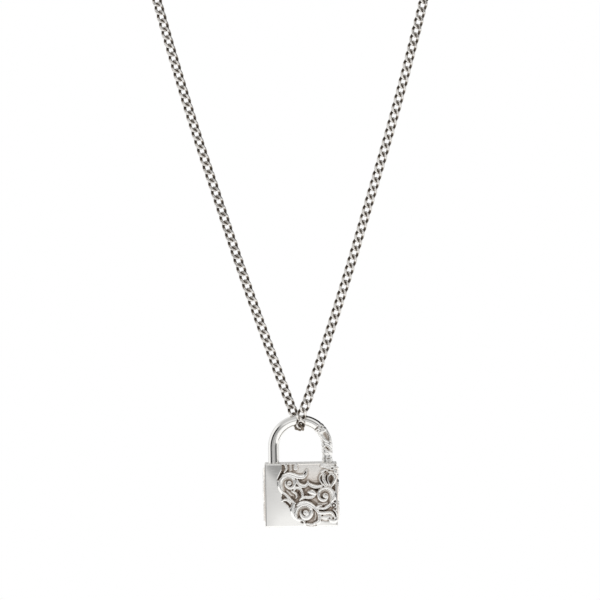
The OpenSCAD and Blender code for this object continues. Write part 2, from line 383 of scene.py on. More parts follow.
for side, name, node in ((1, "right_links", "chain_right"), (-1, "left_links", "chain_left")):
    joints, turns = arm_joints(side)
    places = []
    for i, (start, end) in enumerate(zip(joints, joints[1:])):
        turn = math.radians(turns[i] + turns[i + 1]) / 2
        flat_faces = Vector((side * math.sin(turn), -math.cos(turn), 0))
        places.append((link_place(start, end, flat_faces), 0))
    if side > 0:
        for start, end, (roll, painted_shade) in zip(BOW_JOINTS, BOW_JOINTS[1:], BOW_LINKS):
            rolled = Matrix.Rotation(math.radians(roll), 3, end - start)
            from_bar = rolled @ Vector((0, start.y + end.y, start.z + end.z))
            places.append((link_place(start, end, from_bar), painted_shade))
    lay_links(name, places, node)
bpy.data.objects.remove(link)

# Clasp
# The hidden join at the nape: one plain closed ring of round wire between the two end links. Its
# shape in the frame is right, so it keeps it and takes the chain's silver.
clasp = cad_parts["clasp"]
clasp.data.materials.clear()
clasp.data.materials.append(chain_silver)

# Padlock body
# A hollow silver casting with a plain polished plate at the left. Its ornament is cast in relief on
# a sunk, darkened ground, then chased: three volutes with the leaves and stems that join them.
BODY_WIDTH = 21.4
BODY_HEIGHT = 18.8
BODY_THICKNESS = 7.5
BODY_EDGE = 0.4  # radius of its edges
SLID_ASIDE = Vector((0.5, 0, 0))  # the padlock hangs a little to the right of the chain's middle
BODY_MIDDLE = CROWN + SLID_ASIDE + Vector((0, 0, -21.95))
GROUND_DEPTH = 0.8  # of the sunk ground under the plain plate
PLATE_CROWN = 0.16  # by which the front swells at its middle
BODY_CUTS = {0: (1, 89), 1: (1, 17), 2: (1, 75)}  # along each axis, in two rounds
CELL = 0.06  # of the grid of heights on which a relief is laid
SOFTNESS = 0.06  # of the relief's edges
BAND_STEPS = 6  # between two rows of a band
BAND_END, BAND_FADE = 1.12, 0.1  # how far a band covers what lies under it, in half widths
BAND_REACH = 1.2  # how far from its line a band is worked out
BEAD_TOP = 0.95  # share of its height that a bead keeps once it is chased
HOLLOW_REACH = 0.3  # how far a hollow looks round for what stands over it
HOLLOW_DEPTH = 0.55  # of the darkest hollows

# How high a band stands over the sunk ground, from its left edge across to its right edge
CUP = (0.8, 1.12, 0.72, 1.12, 0.8)
DISH = (0.9, 1.1, 0.9, 1.1, 0.9)
BROAD = (0.8, 1.02, 1.1, 1.02, 0.8)
SHELL_LEFT = (0.85, 1.15, 1.12, 0.75, 0.5, 0.28, 0.08)
SHELL_RIGHT = SHELL_LEFT[::-1]
ROUND = (0.5, 0.98, 1.12, 0.98, 0.5)
SLOPE = (0.58, 0.54, 0.46, 0.32, 0.12)
LOW = (0.1, 0.3, 0.4, 0.3, 0.1)
SWELL = (0.4, 0.65, 0.75, 0.65, 0.4)
PIT = (0, -0.12, -0.18, -0.12, 0)
SLIT = (-0.3, -0.4, -0.45, -0.4, -0.3)

# Edge of the sunk ground, from the top down the middle and along the bottom to the right
FIELD = [
    (-5.6, 9.1), (-5.5, 7.6), (-6.2, 6.2), (-6.9, 4.8), (-6.6, 3.6), (-6.4, 2.4), (-6, 1.1),
    (-5.5, 0.4), (-5.7, -0.4), (-5.5, -1.6), (-4.6, -2.2), (-3.7, -3.1), (-3, -4.5), (-2.4, -5.2),
    (-1.8, -6.4), (-0.8, -7.2), (-0.1, -8), (1.2, -8.6), (4.4, -8.6), (5.3, -7.9), (6.6, -7.3),
    (8.6, -7.6), (9.4, -7.2), (10, -6.6), (10.2, -5), (10, 0), (10.2, 9.1),
]

# Bands of the relief, each laid over the ones before. Rows: x, z, half width.
FRONT_BANDS = [
    # the ground falls away from the top edge, and swells between the leaves
    (SLOPE, [(-0.9, 7.2, 1.9), (2, 6.8, 2.2), (5.8, 6.8, 2.2)]),
    (LOW, [(-3, 9, 0.6), (-2.9, 7.8, 0.7), (-3.2, 7.2, 0.4)]),
    (SWELL, [(8.3, 6.7, 0.4), (9.8, 6.7, 0.5)]),
    (SWELL, [(5.7, -6.6, 0.6), (7.2, -6.7, 1.1), (8.8, -6.7, 0.8)]),
    (SWELL, [(1.6, -8.5, 0.35), (2.8, -8.8, 0.5), (4, -8.7, 0.35)]),
    (LOW, [(-4.2, 1.4, 0.4), (-3.4, 0.6, 0.6), (-2.6, -0.2, 0.5)]),
    (LOW, [(5, -2.6, 0.4), (6.4, -2.7, 0.5), (7.6, -2.5, 0.4)]),
    (PIT, [(0.8, 1.6, 0.4), (1.3, 0.7, 0.5), (1.2, -0.1, 0.3)]),
    (PIT, [(-0.2, 4.6, 0.3), (0.6, 3.8, 0.35), (1.4, 3.9, 0.3)]),
    (PIT, [(2.9, 3.8, 0.3), (4.2, 3.4, 0.35), (5.2, 3.5, 0.3)]),
    (PIT, [(-2.6, -0.6, 0.4), (-1.9, -1.3, 0.4), (-1.3, -1.6, 0.3)]),
    (PIT, [(2.4, -1.6, 0.25), (3.6, -1.9, 0.35), (4.4, -2.6, 0.3)]),
    (PIT, [(5.2, -4.6, 0.2), (6.4, -4.75, 0.3), (7.6, -4.6, 0.25)]),
    (LOW, [(4, -5, 0.25), (4.3, -6.2, 0.35), (3.9, -7.4, 0.35)]),
    # upper volute, wound in clockwise from the stem, and its inner lip
    (SHELL_LEFT, [
        (-5.2, 1, 0.5), (-5.6, 2.2, 1), (-5.7, 3.5, 1.15), (-5.2, 4.6, 1.05), (-4.3, 5.2, 0.95),
        (-3.3, 5.2, 0.9), (-2.5, 4.6, 0.85), (-2.2, 3.7, 0.8),
    ]),
    (BROAD, [
        (-2, 4.5, 0.4), (-1.9, 3.9, 0.5), (-1.9, 3.2, 0.52), (-2.3, 2.5, 0.52), (-3.1, 2.1, 0.5),
        (-4, 2.45, 0.45), (-4.5, 3.1, 0.35), (-4.6, 3.8, 0.22), (-4.4, 4.2, 0.12),
    ]),
    # leaf that runs from the upper volute to the right, with its upturned tip
    (DISH, [
        (-5.3, 5.9, 0.35), (-3.6, 6.3, 0.6), (-2.2, 6, 0.65), (-0.9, 5.5, 0.65),
        (0.4, 5.4, 0.68), (1.2, 5.9, 0.6), (1.6, 6.8, 0.42), (1.85, 7.6, 0.2),
    ]),
    (SLIT, [(1, 6.2, 0.08), (1.5, 6.9, 0.12)]),
    (ROUND, [(-4.5, 9.1, 0.5), (-4.25, 8.3, 0.5), (-4.3, 7.6, 0.45), (-4.9, 6.8, 0.25)]),
    # crescents between the volutes
    (CUP, [
        (-1.2, 4.7, 0.2), (-0.8, 3.6, 0.5), (0, 2.9, 0.58), (1, 2.7, 0.55), (1.8, 3.2, 0.4),
        (2, 4.3, 0.12),
    ]),
    (CUP, [
        (2.1, 4.2, 0.12), (2.3, 3.4, 0.4), (3.2, 2.8, 0.58), (4.3, 2.45, 0.58), (5.4, 2.5, 0.5),
        (6.2, 2.7, 0.35),
    ]),
    # long leaves that fall from the upper right corner
    (BROAD, [(8.5, 8, 0.25), (7.2, 7.4, 0.38), (6.1, 6.8, 0.35)]),
    (ROUND, [
        (6.6, 6.5, 0.32), (5.8, 5.8, 0.34), (5.5, 5, 0.3), (5.7, 4.1, 0.32), (6.3, 3.3, 0.34),
        (7.2, 2.5, 0.28),
    ]),
    (ROUND, [
        (6.9, 6.3, 0.28), (6.5, 5.5, 0.42), (6.45, 4.6, 0.46), (6.9, 3.7, 0.4), (7.7, 2.7, 0.28),
    ]),
    (ROUND, [(7.4, 6, 0.16), (7.1, 5.2, 0.2), (7.2, 4.3, 0.2), (7.7, 3.4, 0.22), (8.3, 2.5, 0.2)]),
    (ROUND, [(8.5, 5.9, 0.3), (8, 5.2, 0.32), (7.95, 4.4, 0.3), (8.3, 3.4, 0.32), (8.8, 2.5, 0.3)]),
    (ROUND, [(9.4, 6, 0.36), (10.1, 5.2, 0.5), (10, 4.1, 0.55), (9.4, 3.1, 0.5), (8.9, 2.3, 0.3)]),
    (ROUND, [(8.3, 5.7, 0.3), (8.9, 6.15, 0.32), (9.7, 6, 0.32)]),
    (SLIT, [(9, 5.3, 0.12), (9.05, 4.7, 0.36), (8.95, 4.1, 0.28), (8.8, 3.5, 0.1)]),
    # lower right volute, wound in anticlockwise, and its inner lip
    (SHELL_RIGHT, [
        (8.6, -2.2, 0.4), (9, -1.2, 1), (9, 0, 1.2), (8.5, 1, 1.05), (7.6, 1.5, 0.9),
        (6.5, 1.4, 0.82), (5.7, 0.8, 0.78), (5.45, 0, 0.7),
    ]),
    (BROAD, [
        (5.3, 0.7, 0.35), (5.15, 0.1, 0.46), (5.2, -0.7, 0.48), (5.8, -1.45, 0.5),
        (6.8, -1.65, 0.5), (7.5, -1.2, 0.42), (7.8, -0.5, 0.3), (7.6, 0.2, 0.2), (7, 0.5, 0.12),
    ]),
    # curled leaf in the middle, the bud and the tendril under it
    (CUP, [
        (-2.1, 1.5, 0.25), (-1.5, 2.15, 0.4), (-0.7, 2.15, 0.45), (0, 1.6, 0.45), (0.4, 0.5, 0.4),
        (0.3, -0.5, 0.32), (-0.4, -1.2, 0.2),
    ]),
    (ROUND, [
        (-2.9, 1.3, 0.25), (-2.1, 0.85, 0.48), (-1.5, 0.4, 0.48), (-1.3, -0.3, 0.38),
        (-1.6, -0.9, 0.22),
    ]),
    (ROUND, [(2.1, 0.9, 0.4), (3.2, 0.75, 0.9), (4.2, 0.4, 0.5)]),
    (CUP, [
        (4.3, 0.1, 0.2), (3.4, -0.55, 0.42), (2.2, -0.7, 0.5), (1.1, -0.6, 0.46), (0.2, -1, 0.38),
        (-0.5, -1.5, 0.2),
    ]),
    # stem with its side leaf
    (BROAD, [
        (-5.6, -1.5, 0.2), (-5, -1.3, 0.4), (-4.3, -1.3, 0.42), (-3.7, -1.8, 0.34),
        (-3.2, -2.4, 0.3),
    ]),
    (CUP, [
        (-5.6, 0.9, 0.25), (-4.8, 0.5, 0.42), (-4.1, -0.2, 0.44), (-3.3, -1.1, 0.44),
        (-2.5, -1.9, 0.42), (-1.7, -2.4, 0.25),
    ]),
    # leaf down the left of the lower volute, level with the plate
    (BROAD, [
        (-2.1, -2.4, 0.35), (-2.4, -3.2, 0.65), (-2.5, -4.4, 0.8), (-2.2, -5.6, 0.8),
        (-1.5, -6.6, 0.65), (-0.6, -7.2, 0.45), (0.3, -7.5, 0.25),
    ]),
    # lower volute, wound in clockwise, its inner lip, and the long leaf over its back
    (SHELL_LEFT, [
        (-1.2, -6.4, 0.5), (-1.3, -5.4, 0.75), (-0.9, -4.3, 0.9), (-0.1, -3.6, 0.85),
        (0.9, -3.3, 0.85), (1.9, -3.6, 0.85), (2.5, -4.4, 0.85), (2.6, -5.3, 0.8),
    ]),
    (BROAD, [
        (3, -4.6, 0.4), (2.9, -5.3, 0.7), (2.4, -6.3, 0.75), (1.5, -6.8, 0.72), (0.5, -6.6, 0.6),
        (-0.1, -5.8, 0.46), (-0.3, -5.1, 0.3), (-0.1, -4.6, 0.15),
    ]),
    (DISH, [
        (-1.4, -3.1, 0.15), (-0.4, -2.3, 0.42), (1, -2.15, 0.55), (2.3, -2.5, 0.6),
        (3.4, -3.2, 0.55), (4.35, -4.2, 0.5), (5.05, -5.3, 0.46), (5.3, -6.5, 0.5),
        (5.2, -7.5, 0.5), (4.5, -8.15, 0.42), (3.7, -8.3, 0.28),
    ]),
    (BROAD, [(0.6, -7.5, 0.4), (1.1, -8.5, 0.3)]),
    # leaves under the lower right volute
    (ROUND, [(4.3, -3.6, 0.2), (5.2, -3.2, 0.38), (6, -3.2, 0.28)]),
    (CUP, [
        (4.2, -3.8, 0.25), (5.2, -3.95, 0.36), (6.4, -4.05, 0.38), (7.5, -3.8, 0.38),
        (8.3, -3.2, 0.34), (8.9, -2.5, 0.28), (9.2, -1.9, 0.15),
    ]),
    (ROUND, [(7, -3.4, 0.12), (8, -3, 0.22), (8.8, -2.3, 0.15)]),
    (ROUND, [(9.4, -4.4, 0.28), (10.2, -5.1, 0.36), (10.5, -6.1, 0.36), (10.4, -7, 0.3)]),
    (BROAD, [
        (5.2, -5.2, 0.45), (6.2, -5.4, 0.5), (7.4, -5.3, 0.48), (8.6, -5.3, 0.48),
        (9.4, -5.9, 0.42), (9.9, -6.8, 0.32),
    ]),
    (BROAD, [(8.1, -7.3, 0.3), (9.1, -7.8, 0.45), (10.1, -7.7, 0.45), (10.5, -6.9, 0.35)]),
    # ring of the small curl at the right edge
    (ROUND, [
        (8.9, -3.6, 0.15), (8.9, -2.8, 0.17), (9.5, -2.35, 0.17), (10.2, -2.7, 0.17),
        (10.3, -3.4, 0.17), (9.7, -3.95, 0.15),
    ]),
    # undercuts
    (SLIT, [(-5.2, 7, 0.1), (-5.7, 6.2, 0.2), (-6.1, 5.5, 0.2), (-6.6, 4.8, 0.1)]),
    (SLIT, [(6.1, 5.6, 0.08), (5.97, 5, 0.12), (6.1, 4.3, 0.11), (6.6, 3.5, 0.06)]),
    (SLIT, [(7.65, 5.7, 0.1), (7.55, 5, 0.16), (7.6, 4.2, 0.15), (8, 3.4, 0.08)]),
    (SLIT, [(4, 1.5, 0.1), (4.6, 1.5, 0.3), (5, 1.7, 0.12)]),
    (SLIT, [(-0.8, 0.9, 0.22), (-0.4, -0.1, 0.16)]),
    (SLIT, [(9.6, -5, 0.08), (9.95, -5.7, 0.13), (10.2, -6.4, 0.08)]),
]
# Round eyes, beads and drilled dots, as x, z, radius and height
BEADS = [
    (-3.45, 3.6, 0.68, 1.15), (-3.5, 3.7, 0.2, 0.75), (1.3, -5.2, 0.78, 1.15), (1, -4.9, 0.17, 0.7),
    (7, -0.2, 0.68, 1.15), (7.3, 0.1, 0.15, 0.4), (-1.5, 8, 0.62, 1.1), (-1.4, 8.9, 0.42, 1),
    (9.6, -3.15, 0.34, 1.1), (10.3, 6.7, 0.55, 1.2), (10, 8, 0.35, 1.1), (9.3, 7.8, 0.17, -0.2),
    (8.4, 7.2, 0.15, -0.2), (7.3, 6.9, 0.15, -0.2), (10.2, 9, 0.15, -0.1), (10.2, 8.5, 0.15, -0.1),
    (8.3, -6.9, 0.15, -0.1), (9.3, -6.9, 0.16, -0.1), (6.2, -6.1, 0.15, -0.1),
]
# Pleats of the fan in the upper right corner spread from its left end
PLEAT = (0.6, 0.95, 1.1, 0.95, 0.6)
FAN = [(SWELL, [(6, 8.6, 0.4), (8, 8.3, 0.9), (10.4, 8, 1.3)])] + [
    (PLEAT, [(5.9, 9 - 0.2 * k, 0.13), (8, 9 - 0.42 * k, 0.2), (10.4, 9.1 - 0.66 * k, 0.29)])
    for k in range(4)
]
# Low leaves that wrap round both sides, as rows of depth, height and half width
SIDE_CUP = (0.45, 0.65, 0.4, 0.65, 0.45)
SIDE_ROUND = (0.3, 0.55, 0.65, 0.55, 0.3)
SIDE_BANDS = [
    (SIDE_ROUND, [(-1.6, 7.8, 0.3), (-0.6, 7, 0.8), (0.2, 6, 1), (0.5, 5, 0.8), (0.1, 4.2, 0.4)]),
    (SIDE_ROUND, [
        (-1.4, 3.6, 0.2), (0.4, 3.9, 0.45), (1.8, 3.2, 0.5), (2.3, 2, 0.5), (1.7, 0.8, 0.5),
        (0.3, 0.6, 0.45), (-0.4, 1.4, 0.35), (0.1, 2.2, 0.25),
    ]),
    (SIDE_CUP, [(-2.2, 3.6, 0.25), (-2.6, 1.6, 0.5), (-2.1, -0.2, 0.5), (-0.8, -1.3, 0.4)]),
    (SIDE_ROUND, [
        (-0.8, -1.4, 0.4), (0.8, -1.5, 0.5), (2, -2.6, 0.5), (1.9, -4.2, 0.5), (0.6, -5, 0.5),
        (-0.6, -4.4, 0.4), (-0.5, -3.4, 0.25),
    ]),
    (SIDE_CUP, [
        (-2.4, -2.2, 0.25), (-2.6, -4.2, 0.5), (-2.2, -6, 0.55), (-1, -7.2, 0.5),
        (0.8, -7.5, 0.25),
    ]),
]
SIDE_BEADS = [
    (0.9, 2, 0.4, 0.6), (0.5, -3.9, 0.4, 0.6), (2.4, 5.6, 0.4, 0.5), (-2, 5.6, 0.3, 0.5),
    (2, -6.3, 0.4, 0.5),
]


def blur(grid, cells):
    """Spreads each cell's value over its neighbours, along both ways of the grid."""
    reach = max(1, round(3 * cells))
    weights = np.exp(-0.5 * (np.arange(-reach, reach + 1) / cells) ** 2)
    weights /= weights.sum()
    for axis in (0, 1):
        edges = [(reach, reach) if k == axis else (0, 0) for k in (0, 1)]
        grid = np.apply_along_axis(np.convolve, axis, np.pad(grid, edges, "edge"), weights, "valid")
    return grid


def lay_band(grid, xs, zs, profile, rows):
    """Lays one band over the relief: its height across is a curve through its profile."""
    path = spline(rows, BAND_STEPS) if len(rows) > 1 else np.array([rows[0], rows[0]], float)
    reach = path[:, 2].max() * BAND_REACH
    x_span = np.searchsorted(xs, [path[:, 0].min() - reach, path[:, 0].max() + reach])
    z_span = np.searchsorted(zs, [path[:, 1].min() - reach, path[:, 1].max() + reach])
    px, pz = np.meshgrid(xs[slice(*x_span)], zs[slice(*z_span)], indexing="ij")
    nearest = np.full(px.shape, 1e9)
    across = np.zeros(px.shape)
    for (ax, az, aw), (bx, bz, bw) in zip(path, path[1:]):
        dx, dz = bx - ax, bz - az
        t = np.clip(((px - ax) * dx + (pz - az) * dz) / max(dx * dx + dz * dz, 1e-12), 0, 1)
        away = np.hypot(px - ax - t * dx, pz - az - t * dz) / (aw + (bw - aw) * t)
        side = np.sign(dx * (pz - az) - dz * (px - ax))
        closer = away < nearest
        nearest = np.where(closer, away, nearest)
        across = np.where(closer, side * np.minimum(away, 1), across)
    height = np.interp(across, np.linspace(-1, 1, len(profile)), profile[::-1])
    cover = np.clip((BAND_END - nearest) / BAND_FADE, 0, 1)
    part = grid[slice(*x_span), slice(*z_span)]
    part += (height - part) * cover


def carve(half_x, half_z, ground, bands):
    """A relief as a grid of heights, and how much patina and painted shade darken its hollows."""
    xs = np.arange(-half_x, half_x + CELL, CELL)
    zs = np.arange(-half_z, half_z + CELL, CELL)
    grid = ground(*np.meshgrid(xs, zs, indexing="ij"))
    for profile, rows in bands:
        lay_band(grid, xs, zs, profile, rows)
    grid = blur(grid, SOFTNESS / CELL)
    # Hollows get patina and painted shade, by how far each cell lies below those round it
    hollow = np.clip((blur(grid, HOLLOW_REACH / CELL) - grid) / HOLLOW_DEPTH, 0, 1)
    return (xs, zs), grid, hollow


def sample(cells, grid, x, z):
    """Reads a grid between its cells, from the first to just inside the last."""
    xs, zs = cells
    fx = np.clip((x - xs[0]) / CELL, 0, len(xs) - 1.001)
    fz = np.clip((z - zs[0]) / CELL, 0, len(zs) - 1.001)
    i, k = fx.astype(int), fz.astype(int)
    fx, fz = fx - i, fz - k
    near = grid[i, k] * (1 - fx) + grid[i + 1, k] * fx
    far = grid[i, k + 1] * (1 - fx) + grid[i + 1, k + 1] * fx
    return near * (1 - fz) + far * fz


def front_ground(px, pz):
    """The plain plate, and the sunk ground within the field."""
    inside = np.zeros(px.shape, bool)
    for (ax, az), (bx, bz) in zip(FIELD, FIELD[1:] + FIELD[:1]):
        if az != bz:
            crosses = (az > pz) != (bz > pz)
            inside ^= crosses & (px < ax + (pz - az) * (bx - ax) / (bz - az))
    return np.where(inside, 0.0, GROUND_DEPTH)


def side_ground(py, pz):
    """Both plain sides."""
    return np.zeros(py.shape)


def beads(rows):
    """Bands of a single round point each, level on top."""
    return [((BEAD_TOP * top, BEAD_TOP * top), [(x, z, radius)]) for x, z, radius, top in rows]


def select_edges_along(piece, axis):
    """Selects the edges of a box-shaped mesh that run along one axis."""
    places = vertices(piece)
    for edge in piece.data.edges:
        step = np.abs(places[edge.vertices[1]] - places[edge.vertices[0]])
        edge.select = bool(step[axis] > step.sum() - step[axis])


def cut_along(piece, axis, counts):
    """Cuts a box-shaped mesh into even slices along one axis, in two rounds."""
    for count in counts:
        bpy.ops.object.mode_set(mode="EDIT")
        bpy.ops.mesh.select_mode(type="EDGE")
        bpy.ops.mesh.select_all(action="DESELECT")
        bpy.ops.object.mode_set(mode="OBJECT")
        select_edges_along(piece, axis)
        bpy.ops.object.mode_set(mode="EDIT")
        bpy.ops.mesh.subdivide(number_cuts=count)
        bpy.ops.object.mode_set(mode="OBJECT")


bpy.ops.object.select_all(action="DESELECT")
bpy.ops.mesh.primitive_cube_add(size=1)
body = bpy.context.object
body.name = "carved_body"
body_size = np.array([BODY_WIDTH, BODY_THICKNESS, BODY_HEIGHT])
move_vertices(body, vertices(body) * body_size)
for axis, counts in BODY_CUTS.items():
    cut_along(body, axis, counts)

front_bands = FRONT_BANDS + FAN + beads(BEADS)
side_bands = SIDE_BANDS + beads(SIDE_BEADS)
front_cells, front_relief, front_hollows = carve(
    BODY_WIDTH / 2, BODY_HEIGHT / 2, front_ground, front_bands
)
side_cells, side_relief, side_hollows = carve(
    BODY_THICKNESS / 2, BODY_HEIGHT / 2, side_ground, side_bands
)

box = vertices(body)
core = np.clip(box, BODY_EDGE - body_size / 2, body_size / 2 - BODY_EDGE)
outward = box - core
outward /= np.linalg.norm(outward, axis=1)[:, None]
shaped = core + outward * BODY_EDGE
body_x, body_y, body_z = shaped.T
facing_front = np.clip(-outward[:, 1], 0, 1) ** 2
facing_side = outward[:, 0] ** 2
facing_back = np.clip(outward[:, 1], 0, 1) ** 2
facing_end = outward[:, 2] ** 2
front_height = sample(front_cells, front_relief, body_x, body_z)
side_height = sample(side_cells, side_relief, body_y, body_z)
sideways, upwards = body_x / BODY_WIDTH * 2, body_z / BODY_HEIGHT * 2
crown = PLATE_CROWN * (1 - sideways**2) * (1 - upwards**2)
rise = facing_front * (front_height - GROUND_DEPTH + crown) + facing_side * side_height
move_vertices(body, shaped + outward * rise[:, None])

# Patina darkens what is low, patina and painted shade darken what is hollow, and patina lies as a
# film on the back and the ends
LOW_PATINA = 0.3
LOW_CURVE = 0.6
FRONT_HOLLOW_PATINA_AND_SHADE = 0.7
SIDE_HOLLOW_PATINA_AND_SHADE = 0.6
SIDE_BRIGHT = 0.45  # height from which the leaves on the sides are bright
BACK_FILM = 0.14
BACK_EDGE_FILM = 0.14  # added at the back's edges
END_FILM = 0.1
front_low = np.clip(1 - front_height / GROUND_DEPTH, 0, 2) ** LOW_CURVE
# The hollows of the front and the sides are darkened with patina and painted shade
front_hollow = sample(front_cells, front_hollows, body_x, body_z)
front_dark = LOW_PATINA * front_low + FRONT_HOLLOW_PATINA_AND_SHADE * front_hollow
side_low = np.clip(1 - side_height / SIDE_BRIGHT, 0, 1)
side_hollow = sample(side_cells, side_hollows, body_y, body_z)
side_dark = LOW_PATINA * side_low + SIDE_HOLLOW_PATINA_AND_SHADE * side_hollow
near_edge = np.maximum(np.abs(sideways), np.abs(upwards))
back_dark = BACK_FILM + BACK_EDGE_FILM * near_edge**6
patina_and_shade = (
    facing_front * front_dark + facing_side * side_dark + facing_back * back_dark
    + END_FILM * facing_end
)
set_finish(body, "patina_and_shade", np.clip(patina_and_shade, 0, 1))
# The chased field and both ends are satin, the plate and the sides are polished, and the back is
# dulled by its film alone
in_field = 1 - front_ground(body_x, body_z) / GROUND_DEPTH
set_finish(body, "satin", facing_front * in_field + facing_end)
bpy.ops.object.shade_smooth()
body.data.transform(TO_METRES @ Matrix.Translation(BODY_MIDDLE))

cast_silver = silver(
    "cast_silver",
    bright=(0.97, 0.96, 0.94),
    dull=(0.91, 0.9, 0.87),
    smooth=0.07,
    rough=0.15,
    dent=0.06,
    cloud_scale=150,
    tarnish_and_shade=[
        (0, (0.88, 0.85, 0.81)),
        (0.25, (0.74, 0.68, 0.62)),
        (0.45, (0.5, 0.43, 0.37)),
        (0.7, (0.2, 0.15, 0.11)),
        (1, (0.03, 0.022, 0.016)),
    ],
)
body.data.materials.append(cast_silver)
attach(body, "padlock")
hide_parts("padlock_body")

# Shackle
# One round bar of polished silver, carved on its right leg while straight, then bent to the bow.
# Both legs go down into the body.
BAR_RADIUS = 1.6
BOW_RADIUS = 7.95
LEG_LENGTH = 5.4  # from the bow's springing down into the top of the body
STANDING = 4.6  # of each leg, from the body's top to the springing
BAR_LENGTH = math.pi * BOW_RADIUS + 2 * LEG_LENGTH
BAR_SIDES = 88
BAR_CUTS = (3, 74)
SUNK_RADIUS = 1.27  # from which the heights of the carving are measured
CARVED_LENGTH = 11.6
CARVED_MARGIN = 0.3  # of the grid at both ends of the carving
HALF_ROUND = math.pi * BAR_RADIUS  # from the front of the bar to its back

# Carving on the right leg. Rows: way round from the front, height over the seat, half width.
LEG_BAND = (0.24, 0.36, 0.38, 0.36, 0.24)
LEG_DRUM = (0.26, 0.16, 0.14, 0.16, 0.26)
LEG_BOSS = (0.2, 0.37, 0.4, 0.37, 0.2)
LEG_RECESS = (0.05, -0.06, -0.1, -0.06, 0.05)
LEG_PIT = (-0.1, -0.16, -0.24, -0.16, -0.1)
LEG_BANDS = [
    # foot with its grooves, and the drum over it
    (LEG_BAND, [(-5.1, 0.3, 0.45), (5.1, 0.3, 0.45)]),
    (LEG_DRUM, [(-5.1, 2, 0.7), (5.1, 2, 0.7)]),
    (LEG_PIT, [(-1.2, 1.2, 0.08), (-0.8, 1.05, 0.14)]),
    (LEG_PIT, [(0, 1.1, 0.1), (0.7, 1.15, 0.12)]),
    (LEG_PIT, [(2, 1.2, 0.12), (3.4, 1.15, 0.16)]),
    (LEG_PIT, [(-4.4, 1.2, 0.12), (-3, 1.15, 0.16)]),
    # three-sided recesses before and behind, and the leaf edge that runs down beside each
    (LEG_RECESS, [(0.5, 8.2, 1.3), (0.6, 7.3, 0.95), (0.85, 6.4, 0.35)]),
    (LEG_RECESS, [(-4.1, 8.1, 0.9), (-4.1, 7.2, 0.6), (-4.2, 6.4, 0.2)]),
    (LEG_PIT, [(1.75, 8.3, 0.1), (1.5, 7.3, 0.15), (1.1, 6.3, 0.1)]),
    (LEG_BAND, [(-1.3, 9.1, 0.4), (-0.95, 7.8, 0.42), (-0.4, 6.8, 0.42), (0.6, 6, 0.34)]),
    (LEG_BAND, [(-5.1, 8, 0.4), (-4.9, 6.9, 0.42), (-4.3, 6, 0.32)]),
    (LEG_PIT, [(-1.3, 6.4, 0.16), (-1.1, 6.2, 0.18), (-0.8, 6.1, 0.1)]),
    (LEG_PIT, [(1.2, 6, 0.1), (1.5, 5.7, 0.14)]),
    # boss band that leans round the leg, with a sunk eye and drilled dots
    (LEG_BOSS, [
        (-5.1, 4, 0.8), (-3.6, 4.8, 0.8), (-2.5, 5.2, 0.8), (-1.3, 4.95, 0.95), (0, 4.2, 0.95),
        (1.3, 3.4, 0.95), (2.5, 3, 0.8), (3.6, 3.2, 0.8), (5.1, 4, 0.8),
    ]),
    (LEG_RECESS, [(-0.6, 4.5, 0.3), (0.1, 4.1, 0.5), (0.8, 3.65, 0.3)]),
    (LEG_PIT, [(-0.3, 4.4, 0.16), (0.1, 4.1, 0.2), (0.5, 3.9, 0.1)]),
    (LEG_PIT, [(-1.5, 5, 0.2), (-1.4, 4.9, 0.2)]),
    (LEG_PIT, [(1.4, 3.25, 0.18), (1.5, 3.15, 0.18)]),
    (LEG_PIT, [(-3, 5.1, 0.2), (-2.8, 5.1, 0.2)]),
    (LEG_PIT, [(3.7, 3.3, 0.2), (3.9, 3.4, 0.2)]),
    # broad ring, and the collar below the plain bar with its three dots
    (LEG_BAND, [(-5.1, 9.6, 0.5), (5.1, 9.6, 0.5)]),
    (LEG_BOSS, [(-5.1, 10.7, 0.7), (5.1, 10.7, 0.7)]),
    (LEG_PIT, [(-0.95, 10.6, 0.18), (-0.85, 10.55, 0.18)]),
    (LEG_PIT, [(-0.05, 10.4, 0.15), (0.05, 10.4, 0.15)]),
    (LEG_PIT, [(0.85, 10.55, 0.18), (0.95, 10.6, 0.18)]),
    (LEG_PIT, [(-2.2, 11.4, 0.1), (-1, 11.4, 0.14), (0.2, 11.45, 0.08)]),
]


def plain_bar(around, height):
    """The plain bar, which stands over the sunk ground of the carving."""
    return np.full(around.shape, BAR_RADIUS - SUNK_RADIUS)


bpy.ops.object.select_all(action="DESELECT")
bpy.ops.mesh.primitive_cylinder_add(vertices=BAR_SIDES, radius=BAR_RADIUS, depth=BAR_LENGTH)
bar = bpy.context.object
bar.name = "carved_shackle"
cut_along(bar, 2, BAR_CUTS)

leg_bands = [
    (profile, [(around, height - CARVED_LENGTH / 2, width) for around, height, width in rows])
    for profile, rows in LEG_BANDS
]
leg_cells, leg_relief, leg_hollows = carve(
    HALF_ROUND, CARVED_LENGTH / 2 + CARVED_MARGIN, plain_bar, leg_bands
)

# The bar stands with its left foot at the bottom, and its height becomes the way round the bow
straight = vertices(bar)
run = straight[:, 2] + BAR_LENGTH / 2
over_seat = BAR_LENGTH - run - (LEG_LENGTH - STANDING)
around_bar = np.arctan2(-straight[:, 0], -straight[:, 1]) * BAR_RADIUS
carved = over_seat < CARVED_LENGTH
up_carving = over_seat - CARVED_LENGTH / 2
leg_height = sample(leg_cells, leg_relief, around_bar, up_carving)
radius = np.where(carved, SUNK_RADIUS + leg_height, BAR_RADIUS)
unit = straight[:, :2] / np.linalg.norm(straight[:, :2], axis=1)[:, None]
out_x, out_y = unit[:, 0] * radius, unit[:, 1] * radius
past_left_leg, before_right_leg = run - LEG_LENGTH, BAR_LENGTH - run - LEG_LENGTH
angle = np.clip(past_left_leg / BOW_RADIUS, 0, math.pi)
below = np.where(angle <= 0, past_left_leg, np.where(angle >= math.pi, before_right_leg, 0))
from_middle = BOW_RADIUS - out_x
